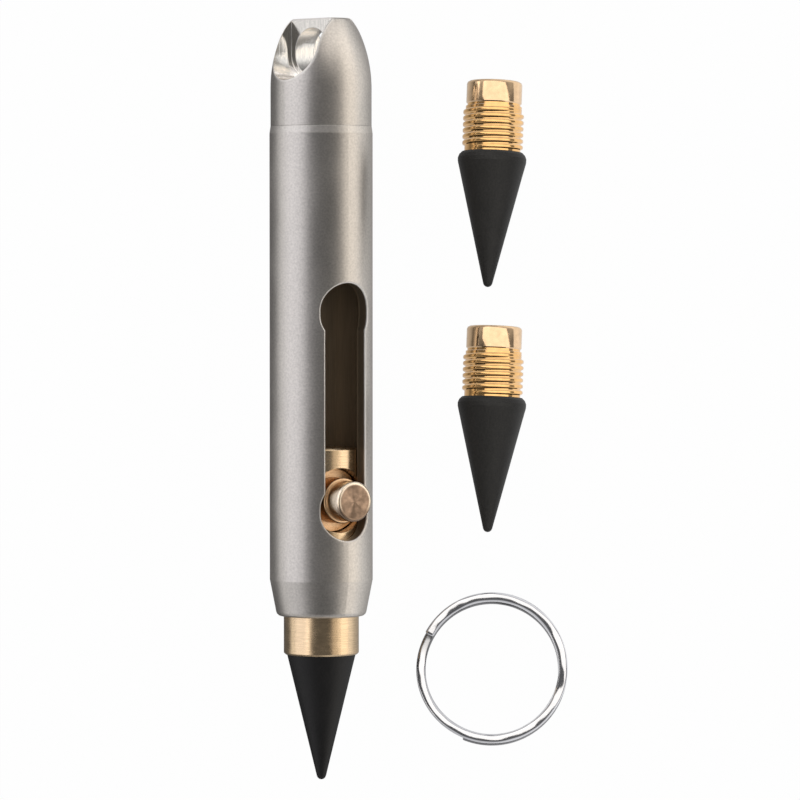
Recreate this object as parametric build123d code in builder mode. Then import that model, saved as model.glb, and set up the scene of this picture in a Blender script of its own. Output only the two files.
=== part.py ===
from build123d import *
import os
from math import acos, asin, atan2, cos, degrees, hypot, pi, radians, sin, sqrt, tan

# An inkless metal pencil laid on a table beside its kit: two spare nibs and a split key ring.
# A brass slider in the barrel's bore carries the nib. A button in the slider rides in the barrel's slot.
# Its shoulder rests in the round pocket at either end of the slot until the button is pressed.
# Millimetres. +Y runs along the pencil towards its tail, +Z is up, and the table is z = 0.
# The origin is the middle of the laid-out kit, on the table.

# Barrel
barrel_d = 10.0
barrel_wall = 1.3
barrel_length = 47.5
taper_length = 3.55
taper_drop = 0.69
mouth_round = 0.5
seam_step = 0.1
seam_bevel_length = 0.7

# Slot with a round pocket at each end, turned about the axis from straight up towards +X
slot_azimuth = 32.8
pocket_overlap = 0.4
pocket_stretch = 0.5
lower_pocket_from_mouth = 10.4
slot_run = 19.05
slot_break = 0.12

# Tail cap
cap_length = 10.4
dome_length = 6.75
dome_inset = 1.85
cap_edge_break = 0.15
spigot_length = 4.0
spigot_clear = 0.02

# Ring hole: a bridge is left between two round-bottomed recesses milled from opposite sides
ring_hole_azimuth = -45.0
ring_hole_d = 4.6
ring_hole_from_top = 3.2
bridge_thickness = 2.5
recess_width = 5.7

# Slider
running_clear = 0.05
ferrule_wall = 0.65
ferrule_lip = 0.245
slider_length = 20.1
slider_reach = 3.74
slider_end_break = 0.17

# Lock button. Its flange stays under the barrel's wall on both sides of the slot
shoulder_clear = 0.05
flange_clear = 0.08
flange_inset = 0.6
flange_overlap = 0.8
flange_thickness = 0.9
flange_play = 0.09
lock_offset = 0.95
shoulder_sink = 0.93
shoulder_break = 0.15
head_inset = 0.25
head_proud = 1.15
head_round = 0.45
press_travel = 1.2
press_spare = 0.1

# Button spring
spring_d = 2.7
spring_wire_d = 0.3
spring_turns = 4.0
spring_side_gap = 0.15
spring_pocket_wall = 0.95
spring_seat_gap = 0.02

# Nib: a graphite cone on a brass stub
thread_length = 4.45
pilot_step = 0.25
pilot_length = 2.45
stub_break = 0.25
boss_d = 3.2
boss_length = 4.0
boss_clear = 0.02
cone_length = 13.14
shoulder_height = 0.95
tip_round = 0.46
seat_depth = 0.9
stub_clear = 0.05
stub_end_gap = 0.1

# Split key ring of flat wire, two turns
ring_d = 14.86
ring_wire_width = 0.92
ring_wire_height = 0.8
ring_turn_gap = 0.08
ring_lower_end = 247.0
ring_upper_end = 152.0

# Layout of the kit on the table
ring_gap = 4.24
ring_above_tip = 3.1
spare_side_gap = 8.3
spare_below_tail = 6.0
spare_spacing_gap = 3.8
spare_yaw = 2.06

overrun = 1.0

# A small curve of revolution is turned as a few straight bands
round_bands = 3

# Sizes that follow from the ones above
barrel_r = barrel_d / 2
bore_r = barrel_r - barrel_wall
cap_r = barrel_r - seam_step
slider_r = bore_r - running_clear
taper_angle = atan2(taper_drop, taper_length)
mouth_tangent = mouth_round / tan(pi / 4 + taper_angle / 2)
nib_bore_r = slider_r - ferrule_wall
thread_r = nib_bore_r - stub_clear
pilot_r = thread_r - pilot_step
seat_r = slider_r - ferrule_lip
nib_r = seat_r - stub_clear - stub_clear / 2
ring_r = ring_d / 2
nib_reach = cone_length - seat_depth
total_length = cap_length + barrel_length + slider_reach + nib_reach
tail_y = total_length / 2
seam_y = tail_y - cap_length
mouth_y = seam_y - barrel_length
ferrule_y = mouth_y - slider_reach
tip_y = -total_length / 2
kit_width = barrel_d + ring_gap + ring_d
pencil_x = barrel_r - kit_width / 2
pencil_z = barrel_r
ring_x = kit_width / 2 - ring_r
lower_pocket_y = mouth_y + lower_pocket_from_mouth
upper_pocket_y = lower_pocket_y + slot_run
button_y = lower_pocket_y + lock_offset
flange_r = slider_r - flange_inset
slot_r = flange_r - flange_overlap
pocket_r = slot_r + pocket_overlap
shoulder_r = slot_r - shoulder_clear
head_r = shoulder_r - head_inset
counterbore_r = flange_r + flange_clear
flange_top = sqrt(bore_r ** 2 - flange_r ** 2) - flange_play
flange_under = flange_top - flange_thickness
counterbore_floor = flange_under - press_travel - press_spare
shoulder_top = barrel_r - shoulder_sink
button_top = barrel_r + head_proud
spring_pocket_floor = spring_pocket_wall - slider_r
stub_length = thread_length + pilot_length

# Nib outline: the cone's side touches the round tip, and an arc leads from it to the stub
side_run = cone_length - tip_round - shoulder_height
side_angle = acos(tip_round / hypot(side_run, nib_r)) - atan2(side_run, nib_r)
chord_r = thread_r - nib_r
shoulder_arc_r = (chord_r ** 2 + shoulder_height ** 2) / (
    2 * (shoulder_height * sin(side_angle) - chord_r * cos(side_angle))
)
arc_centre_r = nib_r - shoulder_arc_r * cos(side_angle)
arc_centre_a = shoulder_height - shoulder_arc_r * sin(side_angle)

# A loose nib lies on its shoulder and on the rim of its thread, so its tip stands a little off the table
rim_run = arc_centre_a + thread_length - pilot_step
rim_drop = thread_r - arc_centre_r
spare_tilt = asin(shoulder_arc_r / hypot(rim_run, rim_drop)) - atan2(rim_drop, rim_run)
spare_z = thread_r * cos(spare_tilt) + (thread_length - pilot_step) * sin(spare_tilt)
spare_x = pencil_x + barrel_r + spare_side_gap + nib_r
spare_step = stub_length + cone_length + spare_spacing_gap

up = Vector(0, 0, 1)
tailward = Vector(0, 1, 0)
pencil_axis = Axis((pencil_x, 0, pencil_z), (0, 1, 0))


def outward(azimuth):
    """Direction square to the pencil's axis, turned from straight up towards +X."""
    return Vector(sin(radians(azimuth)), 0, cos(radians(azimuth)))


def facing(azimuth, y=0, height=0):
    """Sketch plane that faces outwards, height above the pencil's axis. Its y runs towards the tail."""
    out = outward(azimuth)
    origin = Vector(pencil_x, y, pencil_z) + out * height
    return Plane(origin=origin, x_dir=tailward.cross(out), z_dir=out)


def half_section(azimuth):
    """Sketch plane through the pencil's axis: x is the radius, y is the place along the pencil."""
    out = outward(azimuth)
    return Plane(origin=(pencil_x, 0, pencil_z), x_dir=out, z_dir=out.cross(tailward))


def from_axis(point):
    """Distance of a point from the pencil's axis."""
    return hypot(point.X - pencil_x, point.Z - pencil_z)


os.makedirs("parts", exist_ok=True)

# Barrel
with BuildPart() as barrel:
    with BuildSketch(half_section(slot_azimuth)):
        with BuildLine():
            mouth_arc = TangentArc(
                (barrel_r - taper_drop - mouth_tangent, mouth_y),
                (
                    barrel_r - taper_drop + mouth_tangent * sin(taper_angle),
                    mouth_y + mouth_tangent * cos(taper_angle),
                ),
                tangent=(1, 0),
                mode=Mode.PRIVATE,
            )
            Polyline(
                (bore_r, mouth_y),
                *[mouth_arc @ (band / round_bands) for band in range(round_bands + 1)],
                (barrel_r, mouth_y + taper_length),
                (barrel_r, seam_y - seam_bevel_length),
                (barrel_r - seam_step, seam_y),
                (bore_r, seam_y),
                close=True,
            )
        make_face()
    revolve(axis=pencil_axis)
    with BuildSketch(facing(slot_azimuth)):
        with Locations((0, lower_pocket_y + slot_run / 2)):
            Rectangle(slot_r * 2, slot_run)
        with Locations((0, lower_pocket_y), (0, upper_pocket_y)):
            SlotCenterToCenter(pocket_stretch, pocket_r * 2, rotation=90)
    extrude(amount=barrel_r + overrun, mode=Mode.SUBTRACT)
    slot_rim = barrel.edges().filter_by(
        lambda e: abs(from_axis(e @ 0.5) - barrel_r) < slot_break / 2
        and abs((e @ 0.5).Y - lower_pocket_y - slot_run / 2) < slot_run / 2 + pocket_r * 2
    )
    chamfer(slot_rim, slot_break)
barrel.part.label = "barrel"

# Tail cap
ring_hole_y = tail_y - ring_hole_from_top
with BuildPart() as tail_cap:
    with BuildSketch(half_section(ring_hole_azimuth)):
        with BuildLine():
            side = Line((cap_r, seam_y), (cap_r, tail_y - dome_length))
            dome = TangentArc(side @ 1, (cap_r - dome_inset, tail_y), tangent=side % 1)
            Polyline(
                dome @ 1,
                (0, tail_y),
                (0, seam_y - spigot_length),
                (bore_r - spigot_clear, seam_y - spigot_length),
                (bore_r - spigot_clear, seam_y),
                side @ 0,
            )
        make_face()
    revolve(axis=pencil_axis)
    chamfer(tail_cap.edges().filter_by(GeomType.CIRCLE).group_by(Axis.Y)[-1], cap_edge_break)
    for azimuth in (ring_hole_azimuth, ring_hole_azimuth + 180):
        with BuildSketch(facing(azimuth, ring_hole_y, bridge_thickness / 2)):
            Circle(recess_width / 2)
            with Locations((0, ring_hole_from_top / 2 + overrun / 2)):
                Rectangle(recess_width, ring_hole_from_top + overrun)
        extrude(amount=cap_r, mode=Mode.SUBTRACT)
    with BuildSketch(facing(ring_hole_azimuth, ring_hole_y, -cap_r)):
        Circle(ring_hole_d / 2)
    extrude(amount=cap_r * 2, mode=Mode.SUBTRACT)
tail_cap.part.label = "tail_cap"

# Slider: its front end is the ferrule that shows below the barrel
slider_top_y = ferrule_y + slider_length
with BuildPart() as slider:
    with BuildSketch(half_section(slot_azimuth)):
        with BuildLine():
            Polyline(
                (0, slider_top_y),
                (slider_r - slider_end_break, slider_top_y),
                (slider_r, slider_top_y - slider_end_break),
                (slider_r, ferrule_y + slider_end_break),
                (slider_r - slider_end_break, ferrule_y),
                (seat_r, ferrule_y),
                (seat_r, ferrule_y + seat_depth + stub_end_gap),
                (nib_bore_r, ferrule_y + seat_depth + stub_end_gap),
                (nib_bore_r, ferrule_y + seat_depth + stub_length + stub_end_gap),
                (0, ferrule_y + seat_depth + stub_length + stub_end_gap),
                close=True,
            )
        make_face()
    revolve(axis=pencil_axis)
    with BuildSketch(facing(slot_azimuth, button_y, counterbore_floor)):
        Circle(counterbore_r)
    extrude(amount=slider_r * 2, mode=Mode.SUBTRACT)
    with BuildSketch(facing(slot_azimuth, button_y, spring_pocket_floor)):
        Circle(spring_d / 2 + spring_side_gap)
    extrude(amount=slider_r, mode=Mode.SUBTRACT)
slider.part.label = "slider"

# Lock button
button_plane = facing(slot_azimuth, button_y)
button_section = Plane(
    origin=button_plane.origin,
    x_dir=button_plane.x_dir,
    z_dir=-button_plane.y_dir,
)
with BuildPart() as lock_button:
    with BuildSketch(button_section):
        with BuildLine():
            head_arc = TangentArc(
                (head_r, button_top - head_round),
                (head_r - head_round, button_top),
                tangent=(0, 1),
                mode=Mode.PRIVATE,
            )
            Polyline(
                (0, flange_under),
                (flange_r, flange_under),
                (flange_r, flange_top),
                (shoulder_r, flange_top),
                (shoulder_r, shoulder_top - shoulder_break),
                (shoulder_r - shoulder_break, shoulder_top),
                (head_r, shoulder_top),
                *[head_arc @ (band / round_bands) for band in range(round_bands + 1)],
                (0, button_top),
                close=True,
            )
        make_face()
    revolve(axis=Axis(button_plane.origin, button_plane.z_dir))
lock_button.part.label = "lock_button"

# Button spring: one unbroken helix between the pocket's floor and the flange
coil_r = (spring_d - spring_wire_d) / 2
coil_start = spring_pocket_floor + spring_seat_gap + spring_wire_d / 2
coil_height = flange_under - spring_seat_gap - spring_wire_d / 2 - coil_start
coil_pitch = coil_height / spring_turns
coil_turns = Helix(pitch=coil_pitch, height=coil_height, radius=coil_r)
coil = facing(slot_azimuth, button_y, coil_start) * coil_turns
with BuildPart() as button_spring:
    with BuildSketch(Plane(origin=coil @ 0, z_dir=coil % 0)):
        RegularPolygon(spring_wire_d / 2, 6)
    sweep(path=coil, is_frenet=True)
button_spring.part.label = "button_spring"


def nib_section(seat, tipward):
    """Sketch plane through a nib's axis: x is the radius, y runs from the stub's seat to the tip."""
    side_dir = tipward.cross(up).normalized()
    return Plane(origin=seat, x_dir=side_dir, z_dir=side_dir.cross(tipward))


# Nibs: one in the slider and two loose on the table, the second laid below the first
spare_seat_y = tail_y - spare_below_tail - stub_length
spare_tipward = Vector(
    -sin(radians(spare_yaw)) * cos(spare_tilt),
    -cos(radians(spare_yaw)) * cos(spare_tilt),
    sin(spare_tilt),
)
nibs = [
    ("nib", Vector(pencil_x, ferrule_y + seat_depth, pencil_z), Vector(0, -1, 0)),
    ("spare_nib_1", Vector(spare_x, spare_seat_y, spare_z), spare_tipward),
    ("spare_nib_2", Vector(spare_x, spare_seat_y - spare_step, spare_z), spare_tipward),
]
for nib_name, seat, tipward in nibs:
    section = nib_section(seat, tipward)
    nib_axis = Axis(seat, tipward)
    with BuildPart() as stub:
        with BuildSketch(section):
            with BuildLine():
                Polyline(
                    (0, -stub_length),
                    (pilot_r - stub_break, -stub_length),
                    (pilot_r, stub_break - stub_length),
                    (pilot_r, -thread_length),
                    (thread_r, pilot_step - thread_length),
                    (thread_r, 0),
                    (boss_d / 2, 0),
                    (boss_d / 2, boss_length),
                    (0, boss_length),
                    close=True,
                )
            make_face()
        revolve(axis=nib_axis)
    stub.part.label = nib_name + "_stub"
    export_step(stub.part, "parts/" + nib_name + "_stub.step")
    with BuildPart() as cone:
        with BuildSketch(section):
            with BuildLine():
                tip_start = (
                    tip_round * cos(side_angle),
                    cone_length - tip_round + tip_round * sin(side_angle),
                )
                cone_side = Line((nib_r, shoulder_height), tip_start)
                tip = TangentArc(cone_side @ 1, (0, cone_length), tangent=cone_side % 1, mode=Mode.PRIVATE)
                shoulder = TangentArc(
                    cone_side @ 0, (thread_r, 0), tangent=(cone_side % 0) * -1, mode=Mode.PRIVATE
                )
                Polyline(
                    *[tip @ (band / round_bands) for band in range(round_bands + 1)],
                    (0, boss_length + boss_clear),
                    (boss_d / 2 + boss_clear, boss_length + boss_clear),
                    (boss_d / 2 + boss_clear, 0),
                    *[shoulder @ (1 - band / round_bands) for band in range(round_bands + 1)],
                )
            make_face()
        revolve(axis=nib_axis)
    cone.part.label = nib_name + "_cone"
    export_step(cone.part, "parts/" + nib_name + "_cone.step")

# Key ring: the lower turn, a climb through the single stretch between the wire's ends, and the upper turn
ring_y = tip_y + ring_above_tip + ring_r
wire_mean_r = ring_r - ring_wire_width / 2
ring_climb = ring_wire_height + ring_turn_gap
climb_angle = ring_lower_end - ring_upper_end
turn_angle = 360 - climb_angle


def ring_wire_plane(angle, height):
    """Sketch plane across the ring's wire at an angle about the ring's centre."""
    radius_dir = Vector(cos(radians(angle)), sin(radians(angle)), 0)
    origin = Vector(ring_x, ring_y, height) + radius_dir * wire_mean_r
    return Plane(origin=origin, x_dir=radius_dir, z_dir=radius_dir.cross(up))


climb_start = Plane(
    origin=(ring_x, ring_y, ring_wire_height / 2),
    x_dir=(cos(radians(ring_upper_end)), sin(radians(ring_upper_end)), 0),
    z_dir=(0, 0, 1),
)
climb = climb_start * Helix(pitch=ring_climb * 360 / climb_angle, height=ring_climb, radius=wire_mean_r)
with BuildPart() as key_ring:
    for height in (ring_wire_height / 2, ring_wire_height / 2 + ring_climb):
        with BuildSketch(ring_wire_plane(ring_lower_end, height)):
            Rectangle(ring_wire_width, ring_wire_height)
        revolve(axis=Axis((ring_x, ring_y, 0), (0, 0, 1)), revolution_arc=turn_angle)
    with BuildSketch(ring_wire_plane(ring_upper_end, ring_wire_height / 2)):
        Rectangle(ring_wire_width, ring_wire_height)
    sweep(path=climb, is_frenet=True)
key_ring.part.label = "key_ring"

for built in (barrel, tail_cap, slider, lock_button, button_spring, key_ring):
    export_step(built.part, "parts/" + built.part.label + ".step")

least_gap = min(
    ((coil @ (i / 90)) - (coil @ (j / 90))).length - spring_wire_d
    for i in range(91)
    for j in range(i + 12, 91)
)
print("least gap of the button spring to itself", round(least_gap, 3))
print("gap between the key ring's turns", round(ring_turn_gap, 3))
print("tilt of a loose nib in degrees", round(degrees(spare_tilt), 2))
print("whole length", round(total_length, 2), "kit width", round(kit_width, 2))
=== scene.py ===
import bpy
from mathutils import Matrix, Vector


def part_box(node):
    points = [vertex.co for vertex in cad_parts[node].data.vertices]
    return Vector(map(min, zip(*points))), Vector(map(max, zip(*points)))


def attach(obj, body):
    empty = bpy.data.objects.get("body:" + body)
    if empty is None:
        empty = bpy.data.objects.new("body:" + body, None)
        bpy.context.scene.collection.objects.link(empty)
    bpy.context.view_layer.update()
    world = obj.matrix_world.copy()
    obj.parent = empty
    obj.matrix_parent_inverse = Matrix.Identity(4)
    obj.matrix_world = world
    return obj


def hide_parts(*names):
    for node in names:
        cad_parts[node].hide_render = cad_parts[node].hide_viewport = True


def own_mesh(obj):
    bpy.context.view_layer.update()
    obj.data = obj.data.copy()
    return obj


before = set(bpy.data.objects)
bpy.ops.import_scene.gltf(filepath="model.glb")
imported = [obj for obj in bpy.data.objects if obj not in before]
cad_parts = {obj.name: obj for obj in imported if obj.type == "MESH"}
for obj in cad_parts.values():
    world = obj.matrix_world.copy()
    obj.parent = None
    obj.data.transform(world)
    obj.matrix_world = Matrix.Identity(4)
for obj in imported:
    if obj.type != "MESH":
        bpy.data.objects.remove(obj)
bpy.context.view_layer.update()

from math import cos, pi, radians, sin

import bmesh
import bpy
from mathutils import Matrix, Vector

bl_info = {
    "name": "Inkless metal pencil",
    "version": (1, 0, 0),
    "blender": (4, 5, 0),
    "location": "3D View > Sidebar > Pencil",
    "description": "Finishes the pencil and makes its nib threads, split ring and studio",
    "category": "Object",
}

# Metres, as in the frame. +Y runs towards the pencil's tail, +Z is up, and the table is z = 0.
MM = 0.001
# Most of a noise's values lie between these
NOISE_SPAN = (0.3, 0.7)
# Sides of a turned piece
ROUND_SIDES = 96

# Places read from the frame
cap_low, cap_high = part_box("tail_cap")
barrel_low, barrel_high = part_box("barrel")
stub_low, stub_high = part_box("nib_stub")
ring_low, ring_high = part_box("key_ring")
axis_point = Vector(((barrel_low.x + barrel_high.x) / 2, 0, (barrel_low.z + barrel_high.z) / 2))
ring_centre = Vector(((ring_low.x + ring_high.x) / 2, (ring_low.y + ring_high.y) / 2, 0))


def linear(code):
    """Turns an sRGB hex colour into the linear colour that Blender works with."""
    parts = [int(code[i : i + 2], 16) / 255 for i in (1, 3, 5)]
    return [c / 12.92 if c <= 0.04045 else ((c + 0.055) / 1.055) ** 2.4 for c in parts]


def length(name, description, value):
    """A length that the panel shows in the scene's unit."""
    return bpy.props.FloatProperty(
        name=name, description=description, default=value, unit="LENGTH", precision=5
    )


def angle(name, description, degrees):
    """An angle given in degrees."""
    return bpy.props.FloatProperty(
        name=name, description=description, default=radians(degrees), subtype="ANGLE"
    )


def place(name, description, millimetres):
    """A place given in millimetres."""
    default = [part * MM for part in millimetres]
    return bpy.props.FloatVectorProperty(
        name=name, description=description, default=default, subtype="XYZ_LENGTH", unit="LENGTH"
    )


def radiance(name, description, value):
    """How bright something shows, where 1 is full white."""
    return bpy.props.FloatProperty(name=name, description=description, default=value, min=0)


def colour(name, description, code):
    """A colour that the panel shows with a picker."""
    return bpy.props.FloatVectorProperty(
        name=name, description=description, default=linear(code), subtype="COLOR", min=0, max=1
    )


class PencilSizes(bpy.types.PropertyGroup):
    """Sizes of the pieces that are made here"""

    thread_pitch: length("Thread pitch", "From one ridge of a nib's thread to the next", 0.6 * MM)
    thread_depth: length("Thread depth", "Height of a ridge over the stub's core", 0.22 * MM)
    thread_length: length("Thread length", "Threaded part of a stub", 4.45 * MM)
    pilot_length: length("Pilot length", "Plain end of a stub", 2.45 * MM)
    pilot_step: length("Pilot step", "Height from the plain end to the thread's crest", 0.25 * MM)
    neck_depth: length("Neck depth", "Groove between the plain end and the thread", 0.12 * MM)
    boss_radius: length("Boss radius", "Pin of a stub inside its cone", 1.6 * MM)
    boss_length: length("Boss length", "Reach of that pin into the cone", 4.0 * MM)
    spare_seat_1: place("First spare's seat", "Where its cone meets its thread", (7.08, 24.04, 3.286))
    spare_seat_2: place("Second spare's seat", "Where its cone meets its thread", (7.08, 0.2, 3.286))
    spare_yaw: angle("Spare turn", "How far a spare's tip is turned from straight down the page", 2.06)
    spare_tilt: angle("Spare tilt", "How far a spare's tip stands up", 4.72)
    dome_length: length("Dome length", "Rounded part of the tail cap", 6.75 * MM)
    dome_inset: length("Dome inset", "How much narrower the cap's end is than its side", 1.85 * MM)
    hole_from_end: length("Ring hole from end", "From the cap's end to the ring hole's middle", 3.2 * MM)
    hole_azimuth: angle("Ring hole turn", "Ring hole's direction about the axis from straight up", -45)
    recess_width: length("Recess width", "Width of the recess beside the ring hole", 5.7 * MM)
    slot_azimuth: angle("Slot turn", "Slot's direction about the axis from straight up", 32.8)
    button_from_mouth: length("Button from mouth", "From the barrel's mouth to the button", 11.35 * MM)
    slot_radius: length("Slot radius", "Half the width of the barrel's slot", 2.25 * MM)
    slot_run: length("Slot run", "From the middle of one pocket to the middle of the other", 19.05 * MM)
    pocket_radius: length("Pocket radius", "Rounding of the slot's pockets", 2.65 * MM)
    pocket_stretch: length("Pocket stretch", "How much longer a pocket is than round", 0.5 * MM)
    pocket_from_mouth: length("Pocket from mouth", "From the barrel's mouth to the lower pocket", 10.4 * MM)
    bore_radius: length("Bore radius", "Inside of the barrel", 3.7 * MM)
    flange_radius: length("Flange radius", "Flange of the button under the barrel's wall", 3.05 * MM)
    flange_under: length("Flange underside", "From the pencil's axis to the flange's underside", 1.105 * MM)
    flange_top: length("Flange top", "From the pencil's axis to the flange's top", 2.005 * MM)
    shoulder_radius: length("Shoulder radius", "Shoulder that locks the button in a pocket", 2.2 * MM)
    shoulder_top: length("Shoulder top", "From the pencil's axis to the shoulder's top", 4.07 * MM)
    head_radius: length("Head radius", "Part of the button that the thumb presses", 1.95 * MM)
    head_round: length("Head rounding", "Rounding of the head's edge", 0.28 * MM)
    head_dish: length("Head dish", "How deep the middle of the head is turned out", 0.1 * MM)
    button_top: length("Button height", "From the pencil's axis to the end of the button", 6.15 * MM)
    spring_radius: length("Spring radius", "From the spring's axis to its wire's middle", 1.2 * MM)
    spring_wire: length("Spring wire", "Thickness of the spring's wire", 0.3 * MM)
    spring_floor: length("Spring floor", "From the pencil's axis to its seat", -2.7 * MM)
    spring_turns: bpy.props.IntProperty(
        name="Spring turns", description="Turns of the button's spring", default=4, min=1
    )
    button_travel: length("Button travel", "How far the button goes in", 1.2 * MM)
    wire_width: length("Ring wire width", "Width of the ring's flat wire", 0.92 * MM)
    wire_height: length("Ring wire height", "Height of the ring's flat wire", 0.8 * MM)
    wire_round: length("Ring wire rounding", "Rounding of the wire's corners", 0.36 * MM)
    ring_slip: length("Ring slip", "How far the lower turn has slipped down the page", 0.3 * MM)
    ring_lower_end: angle("Lower end", "Where the ring's lower turn ends", 247)
    ring_upper_end: angle("Upper end", "Where the ring's upper turn ends", 152)


class PencilColours(bpy.types.PropertyGroup):
    """Colours of the finishes"""

    blasted: colour("Blasted metal", "Barrel and tail cap", "#CBC6C0")
    # Also the colour of the painted highlight at the edges of cuts
    machined: colour("Machined metal", "Bright faces of the recesses and the slot's rim", "#F4F0EA")
    bore: colour("Bore", "Inside of the barrel", "#847460")
    brass: colour("Turned brass", "Slider", "#E3C8A4")
    # One brass in painted light and shade: the flange takes its shaded copy, the head its lit copy, and the
    # face colour paints shade on the end and on the rim towards the tip
    button_flange_shade: colour("Button's flange", "Faced brass in the slot's shade", "#CFAC88")
    button_head_lit: colour("Button's head", "Faced brass that thumbs keep bright", "#EEDFCB")
    button_face_shade: colour("Button's face", "Faced brass that thumbs have dulled", "#907A68")
    thread_brass: colour("Rolled brass", "Threads of the stubs", "#FFCA86")
    pilot_brass: colour("Polished brass", "Plain ends of the stubs", "#F6D2A8")
    steel: colour("Polished steel", "Split ring", "#E4E4E8")
    graphite: colour("Graphite alloy", "Cone of the fitted nib", "#100F0F")
    # The spares' cones take a lighter copy of the graphite
    spare_graphite: colour("Lighter graphite alloy", "Cones of the spare nibs", "#1B1A19")
    table: colour("Table", "Floor under the kit", "#FFFFFF")


class PencilStudio(bpy.types.PropertyGroup):
    """Camera and lights"""

    camera_place: place("Camera", "Where the camera stands", (-1.9, 14.6, 460))
    camera_aim: place("Aim", "What the camera looks at", (-1.9, 0, 5))
    focal_length: bpy.props.FloatProperty(
        name="Focal length", description="Lens of the camera in millimetres", default=211, min=1
    )
    left_light: radiance("Left light", "Left soft box", 1.12)
    right_light: radiance("Right light", "Right soft box", 1.34)
    wall_light: radiance("End walls", "Room beyond the pencil's tail and tip", 0.7)
    side_wall_light: radiance("Side walls", "Room beside the pencil", 0.2)
    ceiling_light: radiance("Ceiling", "Room overhead, round the camera", 0.11)
    table_light: radiance("Table", "Open table as metal sees it", 1.0)
    # Painted shade on the table's glow that metal mirrors close to the pencil
    shade: radiance("Shade", "Table close to the pencil as metal sees it", 0.12)
    top_light: radiance("Top light", "Soft box over the spare nibs and the ring", 1.24)
    tail_light: radiance("Tail light", "Soft box beyond the tail", 1.2)
    button_light: radiance("Button light", "Soft box that rims the button's face", 1.2)
    fill_light: radiance("Fill light", "Soft box that metal doesn't mirror", 1.0)
    high_light: radiance("High light", "Soft boxes high up on the brass", 0.6)


def set_inputs(tree, node, sockets):
    """Sets a node's inputs, given in their order or by name: each is a value, or an output to link."""
    pairs = sockets.items() if isinstance(sockets, dict) else enumerate(sockets)
    for key, value in pairs:
        if isinstance(value, bpy.types.NodeSocket):
            tree.links.new(value, node.inputs[key])
        else:
            node.inputs[key].default_value = value


def add_node(tree, kind, sockets=(), **settings):
    """Adds a shader node with its settings and its inputs, and returns its outputs."""
    new = tree.nodes.new("ShaderNode" + kind)
    for name, value in settings.items():
        setattr(new, name, value)
    set_inputs(tree, new, sockets)
    return new.outputs


def new_material(name, base, metallic, roughness):
    """A material with its shader's plain values set, with its tree, shader and object coordinates."""
    material = bpy.data.materials.new(name)
    material.use_nodes = True
    tree = material.node_tree
    shader = tree.nodes["Principled BSDF"]
    set_inputs(tree, shader, {"Base Color": (*base, 1), "Metallic": metallic, "Roughness": roughness})
    return material, tree, shader, add_node(tree, "TexCoord")["Object"]


def grain(tree, place, sizes, detail=2.0):
    """Noise whose features measure the given sizes in metres along x, y and z."""
    scaled = add_node(tree, "Mapping", {"Vector": place, "Scale": [1 / size for size in sizes]})[0]
    return add_node(tree, "TexNoise", {"Vector": scaled, "Scale": 1.0, "Detail": detail})["Fac"]


def shaded(tree, base, *patterns):
    """A colour made darker and lighter by patterns of noise, each with its own least and most light."""
    for noise, least, most in patterns:
        light = add_node(tree, "MapRange", (noise, *NOISE_SPAN, least, most))[0]
        base = add_node(tree, "VectorMath", {0: base, "Scale": light}, operation="SCALE")[0]
    return base


def diagonal(tree, side, other):
    """How far two sides that stand square to each other reach together."""
    corner = add_node(tree, "CombineXYZ", (side, other))[0]
    return add_node(tree, "VectorMath", (corner,), operation="LENGTH")["Value"]


def from_axis(tree, place):
    """Distance from the pencil's axis, and the place along it."""
    across = add_node(tree, "Mapping", {"Vector": place, "Location": -axis_point, "Scale": (1, 0, 1)})[0]
    radius = add_node(tree, "VectorMath", (across,), operation="LENGTH")["Value"]
    return radius, add_node(tree, "SeparateXYZ", (place,))["Y"]


def turned_place(tree, place, along, azimuth):
    """The place seen from a point on the pencil's axis, its z turned about that axis from straight up."""
    middle = Vector((axis_point.x, along, axis_point.z))
    sockets = {"Vector": place, "Location": middle, "Rotation": (0, azimuth, 0)}
    return add_node(tree, "Mapping", sockets, vector_type="TEXTURE")[0]


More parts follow.
